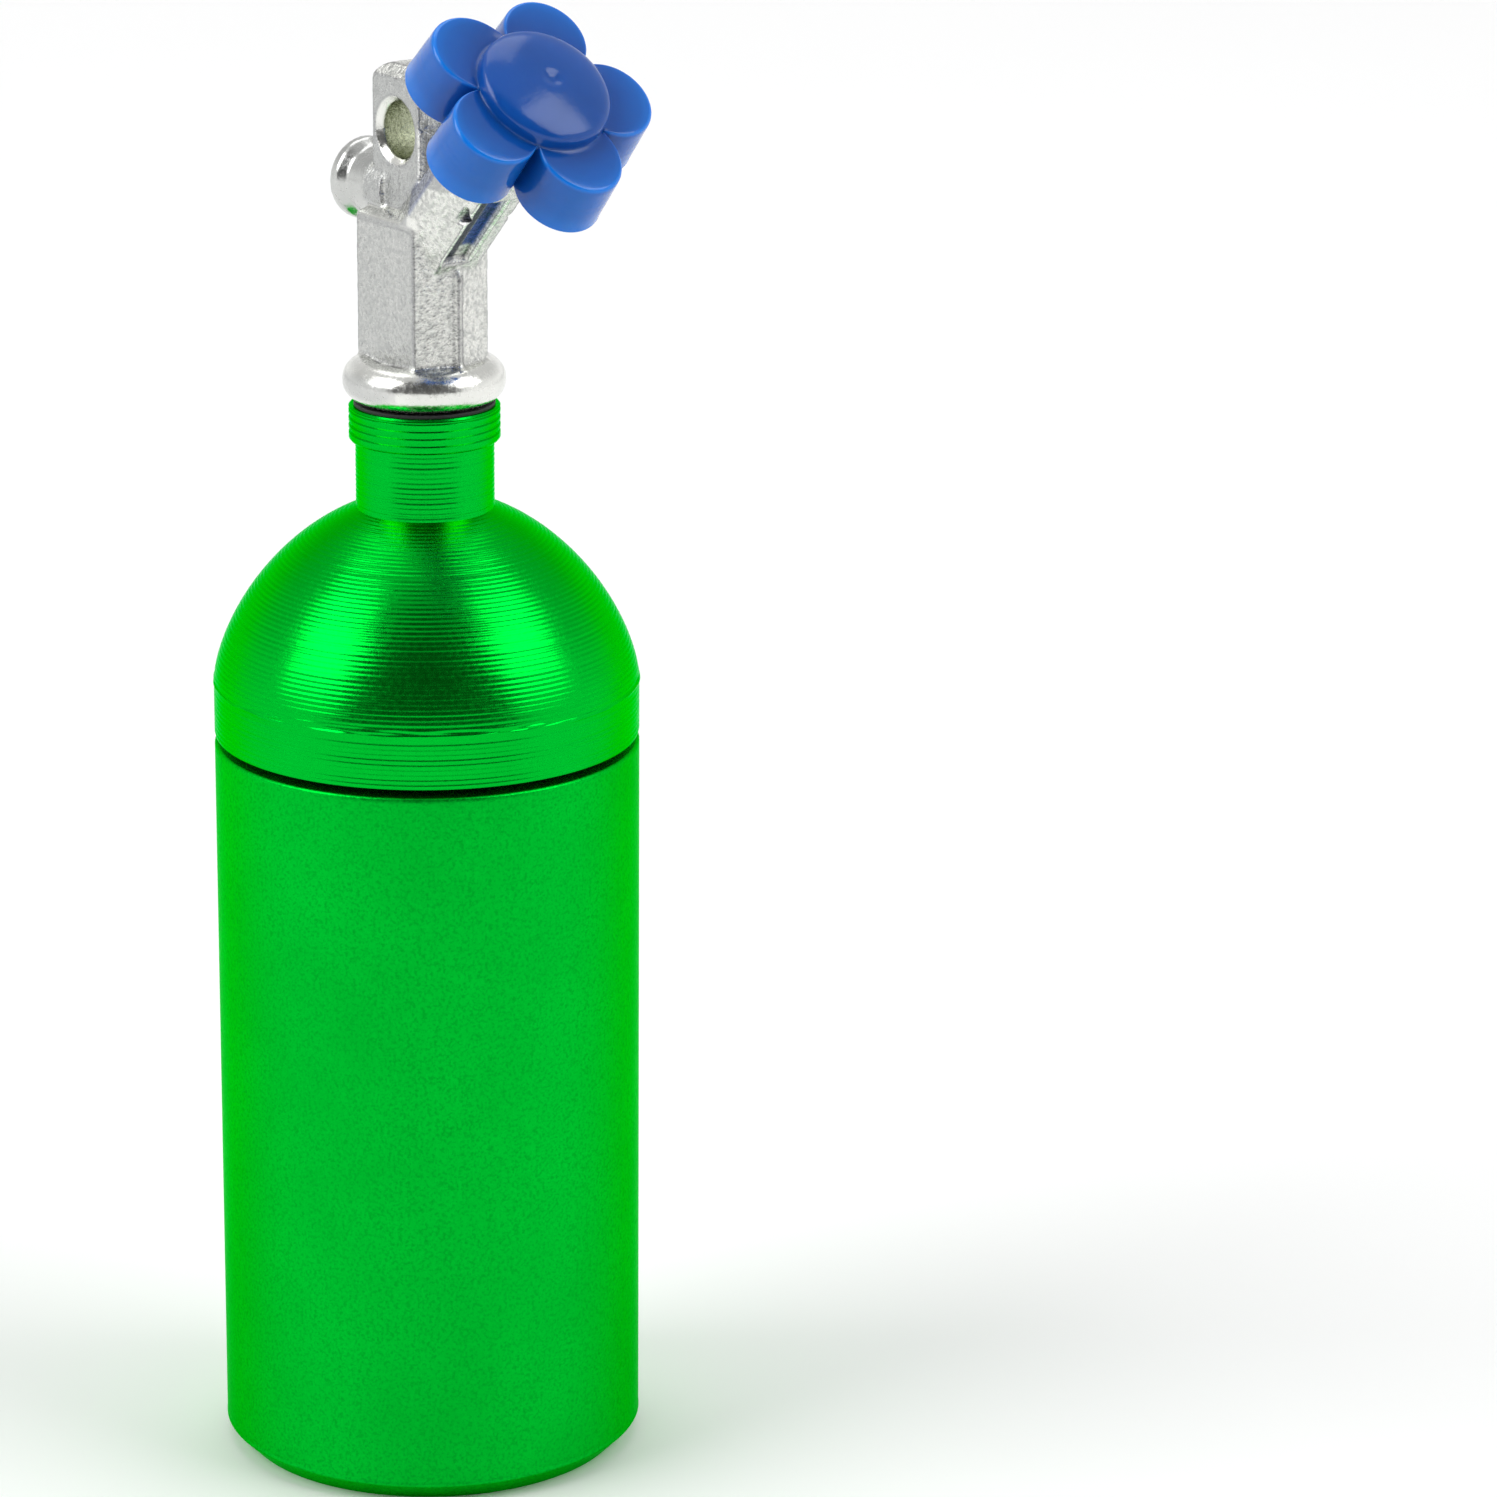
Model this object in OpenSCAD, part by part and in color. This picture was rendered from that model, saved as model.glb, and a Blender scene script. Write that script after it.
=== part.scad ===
// Miniature gas-bottle container with a screw-off domed cap, a cast valve
// head with a key-ring eye, and a turning five-lobed handwheel.
// Millimetres. Origin: centre of the base. +Z: up the bottle axis.
// The handwheel branch leans towards -Y.

/* [Bottle] */
// Outer diameter of the bottle and the cap skirt
body_d = 20;  // [16:0.5:26]
// Height of the shoulder where the cap meets the bottle
shoulder_z = 34.97;  // [30:0.05:40]
// Bevel around the foot of the bottle
foot_chamfer = 0.9;  // [0.3:0.1:2]
// Bore diameter of the storage space
bore_d = 14.4;  // [12:0.1:15]
// Thickness of the bottle floor
floor_t = 2;  // [1.2:0.1:4]

/* [Cap] */
// Visible gap between the bottle shoulder and the cap skirt
seam_gap = 0.36;  // [0.2:0.02:0.6]
// Height where the straight skirt turns into the dome
dome_z = 37.9;  // [36:0.1:40]
// Height where the dome meets the neck
neck_z = 46.2;  // [44:0.1:49]
// Diameter of the neck
neck_d = 6.48;  // [5:0.02:8]
// Diameter of the collar at the top of the neck
collar_d = 7.06;  // [6:0.02:9]
// Height of the lower edge of the collar
collar_z = 49.46;  // [48:0.02:51]
// Height of the top face of the cap
cap_top_z = 51.12;  // [50:0.02:53]
// Steepness of the dome curve: 1 is a plain ellipse
dome_power = 1.29;  // [1:0.01:1.6]

/* [Thread] */
// Distance the cap rises in one turn
pitch = 1.5;  // [1:0.1:2.5]
// Diameter of the plain spigot under the thread
spigot_d = 16;  // [15.4:0.1:17]
// Height of the thread ridges
ridge_h = 0.55;  // [0.3:0.05:0.8]
// Radial gap between each ridge and the wall it faces
thread_gap = 0.17;  // [0.1:0.01:0.3]
// Axial width of a ridge at its foot
ridge_foot = 0.8;  // [0.5:0.05:1.1]
// Axial width of a ridge at its crest
ridge_crest = 0.3;  // [0.1:0.05:0.6]
// Height of the threaded spigot above the shoulder
spigot_h = 4.6;  // [3:0.1:8]
// Thickness of the seal that lies on the shoulder round the spigot
seal_t = 0.94;  // [0.5:0.02:1.2]

/* [Valve head] */
// Outer diameter of the round ring at the foot of the casting
ring_d = 7.62;  // [6:0.02:9]
// Thickness of that ring
ring_t = 2.05;  // [1:0.02:2.5]
// Height of the centre of that ring
ring_z = 52.3;  // [51:0.05:54]
// Width of the column across its flat sides
column_w = 4.2;  // [3:0.1:6]
// Distance from the axis to the back of the column
column_back = 2.4;  // [1.5:0.1:4]
// Distance from the axis to the front corners of the column
column_front = 2.2;  // [1.5:0.1:4]
// Distance from the axis to the front ridge of the column
column_ridge = 2.85;  // [1.5:0.05:4]
// Height of the shoulder of the column
column_top_z = 60;  // [58:0.1:63]
// Thickness of the eye lug
lug_t = 2.6;  // [1.5:0.1:4]
// Diameter of the key-ring eye
eye_d = 2.6;  // [1.5:0.1:4]
// Height of the centre of the eye
eye_z = 64;  // [62:0.1:67]
// Height of the top of the eye lug
lug_top_z = 67;  // [65:0.1:69]
// Distance of the eye behind the bottle axis
eye_y = 0.32;  // [-1:0.02:2]
// Half width of the lug around the eye
lug_r = 1.84;  // [1.6:0.02:3]
// Diameter of the round flange on the back stub
stub_d = 3.9;  // [2:0.1:5]
// Height of the centre of the back stub
stub_z = 61;  // [60:0.1:63]

/* [Branch and handwheel] */
// Lean of the branch from the bottle axis, in degrees
branch_tilt = 43.4;  // [20:0.1:70]
// Height where the branch axis crosses the bottle axis
branch_z = 57.15;  // [54:0.1:60]
// Width of the top and bottom flats of the branch
branch_flat = 2.26;  // [1.5:0.02:3]
// Distance from the stem axis to the bottom flat of the branch
branch_low = 1.45;  // [1.3:0.05:2]
// Distance from the stem axis to the top flat of the branch
branch_high = 2.4;  // [1.5:0.05:3]
// Distance across the flats of the collar below the handwheel
nut_af = 4.9;  // [4:0.1:6.5]
// Distance from the bottle axis to the underside of the handwheel
wheel_s = 10.85;  // [8:0.1:13]
// Turn of the handwheel on its stem at rest, in degrees
wheel_spin = 5;  // [-36:1:36]
// Distance from the wheel centre to each lobe centre
lobe_at = 3.58;  // [2.5:0.02:5]
// Radius of each lobe
lobe_r = 2.1;  // [1:0.01:3]
// Height of the lobes
lobe_h = 2.85;  // [1.5:0.05:4]
// Radius of the raised centre of the wheel
hub_r = 3.2;  // [2:0.01:4]
// Height of the step up to the raised centre
hub_step = 0.45;  // [0.1:0.05:1]
// Further rise of the centre dome
hub_dome = 0.7;  // [0.1:0.05:1.5]
// Number of lobes
lobes = 5;  // [3:1:8]

/* [Colours] */
// Colour of the turned aluminium parts
green = "#08b43a";
// Colour of the cast valve head
chrome = "#c9cac8";
// Colour of the handwheel
blue = "#2358ad";
// Colour of the seals
black = "#1c1c1e";
// Colour of the screw, washer and stem
steel = "#a9abad";

/* [Hidden] */
$fn = 96;
tiny = 0.01;
body_r = body_d / 2;
cap_z = shoulder_z + seam_gap;
spigot_r = spigot_d / 2;
spigot_top = shoulder_z + spigot_h;
cap_bore_r = spigot_r + ridge_h + thread_gap;
mouth_r = 9.15;
mouth_h = 1.05;
seal_gap = 0.03;
liner_t = 0.8;
liner_z = spigot_top + 0.15;
liner_seat_z = liner_z + liner_t + 0.05;
liner_r = cap_bore_r - 0.22;
neck_r = neck_d / 2;
collar_r = collar_d / 2;
dome_top_a = acos(neck_r / body_r);
dome_h = (neck_z - dome_z) / pow(sin(dome_top_a), dome_power);
ceiling_z = 45;
cavity_r = 7.2;
washer_t = 0.15;
casting_z = cap_top_z + washer_t;
spigot_bore_r = 2.05;
foot_r = 2;
foot_z = 47.3;
screw_r = 1.5;
thread_first_male = shoulder_z + 2.05;
male_turns = 1.35;
female_start_a = -150;
thread_first_female = thread_first_male + pitch * (0.5 + female_start_a / 360);
female_turns = 1.4;
ring_r = (ring_d - ring_t) / 2;
lug_back_r = 1;
lug_front_r = 1.3;
lug_flank_drop = 2.5;
lug_flank_h = 1;
nut_h = 1.7;
nut_off = 0.25;
nut_top_s = wheel_s - 0.42;
stem_r = 0.85;
stem_bore_r = 0.91;
stem_tip_s = 4.4;
barb_s = 4.9;
barb_h = 0.6;
barb_r = 1.02;
pocket_r = 1.12;
pocket_top_s = 5.65;
oring_s = 8;
oring_t = 0.3;
oring_r = 0.74;

// ---- shared shapes ----

// one section of a thread ridge at angle a, height z
function ridge_section(a, z, r_foot, r_crest) = [
  [r_foot * cos(a), r_foot * sin(a), z - ridge_foot / 2],
  [r_crest * cos(a), r_crest * sin(a), z - ridge_crest / 2],
  [r_crest * cos(a), r_crest * sin(a), z + ridge_crest / 2],
  [r_foot * cos(a), r_foot * sin(a), z + ridge_foot / 2]
];

function ridge_points(n, a0, z0, r_foot, r_crest, step) = [
  for (i = [0:n])
    for (p = ridge_section(a0 + i * step, z0 + pitch * i * step / 360, r_foot, r_crest))
      p
];

// helical ridge; r_crest below r_foot gives an inside thread
module thread_ridge(z0, a0, turns, r_foot, r_crest) {
  step = 10;
  n = round(turns * 360 / step);
  out = r_crest > r_foot;
  pts = ridge_points(n, a0, z0, r_foot, r_crest, step);
  side = [
    for (i = [0:n - 1])
      for (k = [0:3])
        for (t = [0:1])
          let (
            p = 4 * i + k,
            q = 4 * i + (k + 1) % 4,
            tri = t == 0 ? [p, q, q + 4] : [p, q + 4, p + 4]
          )
          out ? tri : [tri[0], tri[2], tri[1]]
  ];
  last = 4 * n;
  ends = out
    ? [[2, 1, 0], [3, 2, 0], [last, last + 1, last + 2], [last, last + 2, last + 3]]
    : [[0, 1, 2], [0, 2, 3], [last + 2, last + 1, last], [last + 3, last + 2, last]];
  polyhedron(points = pts, faces = concat(side, ends), convexity = 6);
}

// frame of the branch: origin on the bottle axis, +Z out along the branch
module on_branch(s = 0) {
  translate([0, 0, branch_z])
    rotate([branch_tilt, 0, 0])
      translate([0, 0, s])
        children();
}

// bar of the branch: flats above and below, sides just inside the column
module branch_bar(h) {
  half = column_w / 2 - 0.02;
  flat = branch_flat / 2;
  linear_extrude(height = h)
    polygon([
      [-flat, -branch_low],
      [flat, -branch_low],
      [half, 0.4],
      [half, 1.1],
      [flat, branch_high],
      [-flat, branch_high],
      [-half, 1.1],
      [-half, 0.4]
    ]);
}

module torus(r, t) {
  rotate_extrude()
    translate([r, 0])
      circle(d = t, $fn = 32);
}

// ---- bottle ----

module bottle_body() {
  color(green)
    union() {
      difference() {
        union() {
          rotate_extrude()
            polygon([
              [0, 0],
              [body_r - foot_chamfer, 0],
              [body_r, foot_chamfer],
              [body_r, shoulder_z - 0.15],
              [body_r - 0.15, shoulder_z],
              [0, shoulder_z]
            ]);
          translate([0, 0, shoulder_z - 1])
            cylinder(r = spigot_r, h = spigot_h + 1);
        }
        translate([0, 0, floor_t])
          cylinder(d = bore_d, h = spigot_top);
      }
      thread_ridge(thread_first_male, 0, male_turns, spigot_r - 0.15, spigot_r + ridge_h);
    }
}

module body_o_ring() {
  color(black)
    translate([0, 0, shoulder_z + seal_t / 2 + seal_gap])
      torus(spigot_r + seal_t / 2 + seal_gap, seal_t);
}

// ---- cap ----

module cap_liner() {
  color("#e8e6df")
    translate([0, 0, liner_z])
      cylinder(r = liner_r, h = liner_t);
}

dome_pts = [
  for (i = [0:16])
    let (a = dome_top_a * i / 16)
      [body_r * cos(a), dome_z + dome_h * pow(sin(a), dome_power)]
];

module cap_shell() {
  rotate_extrude()
    polygon(concat(
      [
        [0, cap_z],
        [body_r - 0.15, cap_z],
        [body_r, cap_z + 0.15]
      ],
      dome_pts,
      [
        [neck_r, collar_z],
        [collar_r, collar_z + 0.12],
        [collar_r, cap_top_z - 0.1],
        [collar_r - 0.1, cap_top_z],
        [0, cap_top_z]
      ]
    ));
}

module cap_hollow() {
  rotate_extrude()
    polygon([
      [0, cap_z - 1],
      [mouth_r, cap_z - 1],
      [mouth_r, cap_z + mouth_h],
      [cap_bore_r, cap_z + mouth_h + 0.3],
      [cap_bore_r, liner_seat_z],
      [cavity_r, liner_seat_z],
      [cavity_r, liner_seat_z + 0.6],
      [5.2, 43.6],
      [3.6, 44.5],
      [3.6, ceiling_z],
      [1.65, ceiling_z],
      [1.65, foot_z - 0.1],
      [spigot_bore_r, foot_z - 0.1],
      [spigot_bore_r, cap_top_z + 1],
      [0, cap_top_z + 1]
    ]);
}

module cap_dome() {
  color(green)
    union() {
      difference() {
        cap_shell();
        cap_hollow();
      }
      thread_ridge(
        thread_first_female,
        female_start_a,
        female_turns,
        cap_bore_r + 0.15,
        cap_bore_r - ridge_h
      );
    }
}

module neck_washer() {
  color(black)
    translate([0, 0, cap_top_z])
      difference() {
        cylinder(r = 3.3, h = washer_t);
        translate([0, 0, -1])
          cylinder(r = spigot_bore_r, h = 3);
      }
}

// ---- valve casting ----

module column_outline() {
  half = column_w / 2;
  polygon([
    [-half, column_back],
    [-half, -column_front],
    [0, -column_ridge],
    [half, -column_front],
    [half, column_back]
  ]);
}

module column() {
  translate([0, 0, ring_z])
    linear_extrude(height = column_top_z - ring_z)
      column_outline();
  translate([0, 0, column_top_z - tiny])
    linear_extrude(height = 0.4, scale = [lug_t / column_w, 0.9], slices = 1, $fn = 4)
      column_outline();
}

module lug_outline() {
  hull() {
    translate([eye_y + lug_r - lug_back_r, lug_top_z - lug_back_r])
      circle(r = lug_back_r);
    translate([eye_y - lug_r + lug_front_r, lug_top_z - lug_front_r])
      circle(r = lug_front_r);
    translate([eye_y - lug_r, lug_top_z - lug_flank_drop])
      square([2 * lug_r, lug_flank_h]);
  }
  polygon([
    [eye_y + lug_r, lug_top_z - lug_r],
    [eye_y + lug_r, column_top_z - 1],
    [-column_front, column_top_z - 1],
    [-column_front - 2.6, column_top_z + 3.2],
    [eye_y - lug_r, eye_z + 0.3],
    [eye_y - lug_r, lug_top_z - lug_r]
  ]);
}

module lug() {
  rotate([90, 0, 90])
    translate([0, 0, -lug_t / 2])
      linear_extrude(height = lug_t)
        lug_outline();
}

module back_stub() {
  r = stub_d / 2;
  translate([0, column_back - 1.2, stub_z])
    rotate([-90, 0, 0])
      rotate_extrude()
        polygon([
          [0, 0],
          [r - 0.35, 0],
          [r - 0.35, 2.6],
          [r, 3.1],
          [r, 3.5],
          [r - 0.25, 3.8],
          [0, 3.9]
        ]);
}

module valve_body() {
  color(chrome)
    difference() {
      union() {
        translate([0, 0, ring_z])
          torus(ring_r, ring_t);
        translate([0, 0, casting_z])
          cylinder(r = ring_r, h = ring_z - casting_z + 0.6);
        translate([0, 0, foot_z])
          cylinder(r = foot_r, h = casting_z - foot_z + 1);
        column();
        lug();
        back_stub();
        on_branch(0.5)
          branch_bar(nut_top_s - 1);
        on_branch(nut_top_s - nut_h)
          translate([0, nut_off, 0])
            cylinder(d = nut_af / cos(30), h = nut_h, $fn = 6);
      }
      translate([0, 0, foot_z - 1])
        cylinder(r = screw_r, h = 5.6);
      translate([-5, eye_y, eye_z])
        rotate([0, 90, 0])
          cylinder(d = eye_d, h = 10);
      on_branch(stem_tip_s - 0.3)
        cylinder(r = pocket_r, h = pocket_top_s - stem_tip_s + 0.3);
      on_branch(pocket_top_s - 0.5)
        cylinder(r = stem_bore_r, h = 8);
    }
}

module valve_screw() {
  color(steel)
    difference() {
      union() {
        translate([0, 0, 44.2])
          cylinder(r = 1.46, h = 6.6);
        translate([0, 0, 43.1])
          rotate_extrude()
            polygon([
              [0, 0],
              [2, 0],
              [2.5, 0.35],
              [2.75, 0.9],
              [2.75, 1.5],
              [0, 1.5]
            ]);
      }
      for (a = [0, 90])
        rotate([0, 0, a])
          translate([-1.4, -0.3, 42])
            cube([2.8, 0.6, 1.9]);
    }
}

module screw_washer() {
  color(steel)
    translate([0, 0, 44.6])
      difference() {
        cylinder(r = 3.3, h = 0.4);
        translate([0, 0, -1])
          cylinder(r = 1.6, h = 3);
      }
}

// ---- handwheel ----

module wheel_body() {
  cylinder(r = hub_r, h = lobe_h);
  for (i = [0:lobes - 1])
    rotate([0, 0, wheel_spin - 90 + 360 * i / lobes])
      translate([lobe_at, 0, 0])
        cylinder(r = lobe_r, h = lobe_h);
}

module handwheel() {
  color(blue)
    on_branch(wheel_s)
      difference() {
        union() {
          wheel_body();
          translate([0, 0, lobe_h - tiny])
            rotate_extrude()
              polygon(concat(
                [[0, 0], [hub_r, 0], [hub_r, hub_step]],
                [for (i = [1:8]) [
                  hub_r * cos(90 * i / 8),
                  hub_step + hub_dome * sin(90 * i / 8)
                ]]
              ));
        }
        translate([0, 0, -1])
          cylinder(r = stem_r, h = 3);
      }
}

module handwheel_stem() {
  color(steel)
    on_branch(0)
      difference() {
        union() {
          translate([0, 0, stem_tip_s])
            cylinder(r = stem_r, h = wheel_s + 2 - stem_tip_s);
          translate([0, 0, barb_s])
            cylinder(r = barb_r, h = barb_h);
          translate([0, 0, wheel_s - 0.3])
            cylinder(r = 1.9, h = 0.3);
        }
        translate([-2, -0.15, stem_tip_s - 1])
          cube([4, 0.3, 2.6]);
        translate([0, 0, oring_s - 0.22])
          difference() {
            cylinder(r = 2, h = 0.44);
            translate([0, 0, -1])
              cylinder(r = oring_r - oring_t / 2, h = 3);
          }
      }
}

module stem_o_ring() {
  color(black)
    on_branch(oring_s)
      torus(oring_r, oring_t);
}

bottle_body();
body_o_ring();
cap_liner();
cap_dome();
neck_washer();
valve_body();
valve_screw();
screw_washer();
handwheel();
handwheel_stem();
stem_o_ring();
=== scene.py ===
import math

import bmesh
import bpy
import numpy as np
from mathutils import Matrix, Vector, noise


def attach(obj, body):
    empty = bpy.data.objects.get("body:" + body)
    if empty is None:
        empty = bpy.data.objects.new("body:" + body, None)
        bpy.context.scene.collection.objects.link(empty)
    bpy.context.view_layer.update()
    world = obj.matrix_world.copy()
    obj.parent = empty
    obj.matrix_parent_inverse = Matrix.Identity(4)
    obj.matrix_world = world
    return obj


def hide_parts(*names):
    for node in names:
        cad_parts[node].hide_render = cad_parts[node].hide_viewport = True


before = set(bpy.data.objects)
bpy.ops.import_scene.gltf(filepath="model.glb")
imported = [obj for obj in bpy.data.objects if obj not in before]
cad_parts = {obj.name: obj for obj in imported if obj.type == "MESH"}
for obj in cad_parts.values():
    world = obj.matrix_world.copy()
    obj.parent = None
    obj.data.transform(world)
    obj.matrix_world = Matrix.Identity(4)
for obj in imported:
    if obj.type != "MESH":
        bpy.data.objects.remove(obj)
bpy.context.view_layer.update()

MM = 0.001
SEGMENTS = 192
SCENE = bpy.context.scene

# ---- camera: the viewing angle of the photograph, mm in the shared frame ----
CAM_LENS = 146.406
CAM_AT = (-156.72, -226.41, 118.19)
CAM_AXES = (
    (0.79093, -0.61187, 0.00685),
    (0.17311, 0.23448, 0.95658),
    (-0.58691, -0.75541, 0.29138),
)

# ---- bottle and cap sizes, mm, as in the CAD ----
BODY_R = 10.0
FOOT_CHAMFER = 0.9
SHOULDER_Z = 34.97
CAP_Z = 35.33
DOME_Z = 37.9
NECK_Z = 46.2
NECK_R = 3.24
COLLAR_R = 3.53
COLLAR_Z = 49.46
CAP_TOP_Z = 51.12
DOME_POWER = 1.29
PITCH = 1.5
SPIGOT_R = 8.0
RIDGE_H = 0.55
SPIGOT_TOP = SHOULDER_Z + 4.6
CAP_BORE_R = 8.72
LINER_SEAT = SPIGOT_TOP + 1.0
BORE_R = 7.2
FLOOR_T = 2.0
FIRST_MALE = SHOULDER_Z + 2.05
MALE_TURNS = 1.35
FEMALE_A0 = -150.0
FIRST_FEMALE = FIRST_MALE + PITCH * (0.5 + FEMALE_A0 / 360)
FEMALE_TURNS = 1.4

GROOVE_PITCH = 0.24
COLLAR_RIBS = 4

# ---- valve casting, mm, as in the CAD ----
TILT = math.radians(43.4)
BRANCH_Z = 57.15
BRANCH_LOW = 1.45
BRANCH_HIGH = 2.4
BRANCH_FLAT = 1.13
BRANCH_SIDE = 2.08
BEVEL_LOW = 1.1
COLUMN_TOP = 60.0
EYE = (0.32, 64.0)
EYE_R = 1.3
LUG_TOP = 67.0
LUG_HALF = 1.3

# ---- forms added to the casting, mm; a pair is a form's two ends, or those of a fade ----
GRID = 0.0885
RECESS = (2.8, 8.35)
RECESS_HALF = 1.1
RECESS_DEEP = 0.34
RECESS_RIGHT = (0.25, 0.4)
RECESS_SLOPE = 0.14
RECESS_END = 0.25
NEAR_LOW_FACE = 0.14
BEAD_H = 0.15
BEAD_Z = (53.2, 58.2)
BEAD_FACE_Y = -2.3
BEAD_HALF = 0.5
BEAD_SIDE = (0.13, 0.24)
BEAD_TOP = (57.4, 58.1)
LUG_BEVEL = 0.55
LUG_BEVEL_REACH = 1.0
EYE_RIM = 0.32
NEAR_EYE = 0.1
WEB_CORE = 0.6
WEB_DEEP = 0.38
NEAR_WEB = 0.06
WEB_BACK = (1.5, 1.75)
WEB_FOOT = (60.55, 60.8)
WEB_FRONT = (5.2, 5.5)
SKIN_SMOOTH = 0.4
SKIN_GRAIN = ((2.3, 0.012), (5.2, 0.014), (9.7, 0.008))
POLISH_CALM = 0.85

# ---- looks painted on the casting, with painted shade, highlights and reflections among them, mm; a pair is the two ends of a fade ----
RING_MID = 52.3
RING_FADE = (0.95, 1.15)
RING_INNER = 2.7
FOOT_TOP = 51.3
STUB_Y = (2.5, 2.8)
STUB_Z = (58.0, 58.6)
# painted highlight on the ledge
LEDGE_FOOT = (59.86, 59.98)
LEDGE_TOP = (60.4, 60.5)
LEDGE_X = (1.2, 1.35)
LEDGE_Y = (-2.6, -2.3)
# painted shadow line under the ledge
LINE_Z = (59.66, 59.86)
LINE_X = 1.95
LINE_Y = 2.3
LINE_EDGE = 0.05
WORN_IN = (-0.02, 0.04)
WORN_OUT = (EYE_RIM - 0.06, EYE_RIM)
WORN_X = (0.9, 1.0)
# painted shade on the left-facing sides of column and lug, painted dark reflection on the
# stub
LEFT_FACING = (0.7, 0.95)
COLUMN_SHADE = 0.58
COLUMN_FRONT = (2.1, 2.25)
LUG_SHADE = 0.75
LUG_FRONT = (1.6, 1.8)
LUG_FRONT_TOP = 62.0
STUB_DARK_REFLECTION = 0.6
# strength of the painted reflection of the wheel on the branch bevels
BEVEL_REFLECTION = 0.45
BEVEL_FACE = (0.12, 0.22)
BEVEL_X = (1.28, 1.34)
BEVEL_START = (3.6, 3.9)
BEVEL_END = (8.0, 8.4)
STRIP_LEFT = (-0.42, -0.3)
STRIP_RIGHT = (0.24, 0.36)
STRIP_START = (RECESS[0] + 0.9, RECESS[0] + 1.3)
# where the painted shade in the recess under the branch fades in and out
RECESS_SHADE_SIDE = (RECESS_HALF - 0.12, RECESS_HALF + 0.05)
RECESS_SHADE_START = (RECESS[0], RECESS[0] + 0.3)
SHADE_AND_REFLECTION_END = (RECESS[1] - 0.2, RECESS[1] + 0.1)
UNDER_BRANCH = (-1.05, -0.8)
EYE_WALL = (EYE_R + 0.02, EYE_R + 0.12)
EYE_WALL_X = (LUG_HALF - 0.4, LUG_HALF - 0.2)
WEB_SHADE = 0.4
WEB_SHADE_HALF = 1.2

# ---- handwheel, mm, in its own frame: z up from its underside ----
WHEEL_S = 10.85
WHEEL_SPIN = 5.0
WHEEL_STEPS = 300
LOBES = 5
LOBE_AT = 3.58
LOBE_R = 2.1
LOBE_H = 2.85
VALLEY_SOFT = 0.16
HUB_R = 3.2
HUB_STEP = 0.45
HUB_DOME = 0.7
HUB_ROWS = 14
HUB_ROUND = 0.985
GATE_R = 0.62
GATE_MARK = ((0.1, 0.1), (0.2, 0.09), (0.34, 0.05), (0.48, 0.015), (GATE_R, 0.0))
GATE_SINK = 0.004
HUB_SIDE = ((HUB_ROUND, HUB_STEP - 0.1), (HUB_ROUND, 0.12), (0.99, 0.04))
DISH_DEEP = 0.05
DISH_ROWS = (0.12, 0.3, 0.55, 0.8, 1.0)
DISH_IN = 0.018
TOP_EDGE = 0.22
TOP_EDGE_ROWS = 6
DRAFT = 0.14
WALL_ROWS = 26
WALL_FOOT = 0.14
WALL_RIPPLE = 0.012
STEM_R = 0.85
RIM_ROWS = ((0.02, 0.08), (0.015, 0.03), (-0.06, 0.0))
UNDER_ROWS = (
    (HUB_R * 0.9, 0.0), (HUB_R * 0.88, 0.12), (2.05, 0.12), (2.0, 0.0),
    (STEM_R + 0.03, 0.0), (STEM_R + 0.01, 1.9),
)
SOCKET_TOP = 1.98
# strengths of the painted glow where the plastic is thin
GLOW_LOBE = 0.34
GLOW_LIP = 0.6
GLOW_FOOT = 0.3

# ---- stage: world tones, dark card (azimuth, elevation, outer and inner angle), lights ----
WORLD_STRENGTH = 1.0
WORLD_LOW = (0.1, 1.0)
WORLD_HIGH = (0.45, 0.62)
DARK_CARD = (-34.7, 14.0, 62.0, 44.0)
DARK_CARD_TONE = 0.14
LAMP_AIM = Vector((0, 0, 0.04))
LIGHTS = (
    ("key_left", -104.0, 38.0, 1.6, (1.0, 1.1), 13.0),
    ("key_right", 34.0, 40.0, 1.6, (1.0, 1.1), 10.0),
    ("top_back", 150.0, 65.0, 1.6, (1.2, 0.9), 5.0),
)


# ---------------------------------------------------------------- meshes

def new_object(name, verts, faces, body, smooth_angle=40.0):
    """A mesh object from mm vertices, smooth shaded with its sharp edges kept."""
    mesh = bpy.data.meshes.new(name)
    mesh.from_pydata([tuple(float(c) * MM for c in v) for v in verts], [], faces)
    bm = bmesh.new()
    bm.from_mesh(mesh)
    bmesh.ops.recalc_face_normals(bm, faces=bm.faces)
    limit = math.radians(smooth_angle)
    for face in bm.faces:
        face.smooth = True
    for edge in bm.edges:
        if len(edge.link_faces) == 2 and edge.calc_face_angle(0) > limit:
            edge.smooth = False
    bm.to_mesh(mesh)
    bm.free()
    obj = bpy.data.objects.new(name, mesh)
    SCENE.collection.objects.link(obj)
    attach(obj, body)
    return obj


def resample(points, step):
    """Points along a polyline, no further apart than step."""
    out = [points[0]]
    for a, b in zip(points, points[1:]):
        n = max(1, math.ceil(math.dist(a, b) / step))
        for i in range(1, n + 1):
            t = i / n
            out.append((a[0] + (b[0] - a[0]) * t, a[1] + (b[1] - a[1]) * t))
    return out


def grooved(points, pitch, depth, rng):
    """A polyline with turning grooves cut to its left side, never proud of it."""
    pts = resample(points, pitch / 4)
    out = []
    run = 0.0
    level = {}
    for i, p in enumerate(pts):
        if i:
            run += math.dist(p, pts[i - 1])
        a = pts[max(0, i - 1)]
        b = pts[min(len(pts) - 1, i + 1)]
        tx, tz = b[0] - a[0], b[1] - a[1]
        length = math.hypot(tx, tz) or 1.0
        cycle = int(run / pitch)
        if cycle not in level:
            level[cycle] = 0.4 + 0.6 * rng.random()
        cut = depth * level[cycle] * (0.5 - 0.5 * math.cos(2 * math.pi * run / pitch))
        cut *= min(1.0, min(i, len(pts) - 1 - i) / 2)
        out.append((p[0] - cut * tz / length, p[1] + cut * tx / length))
    return out


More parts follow.
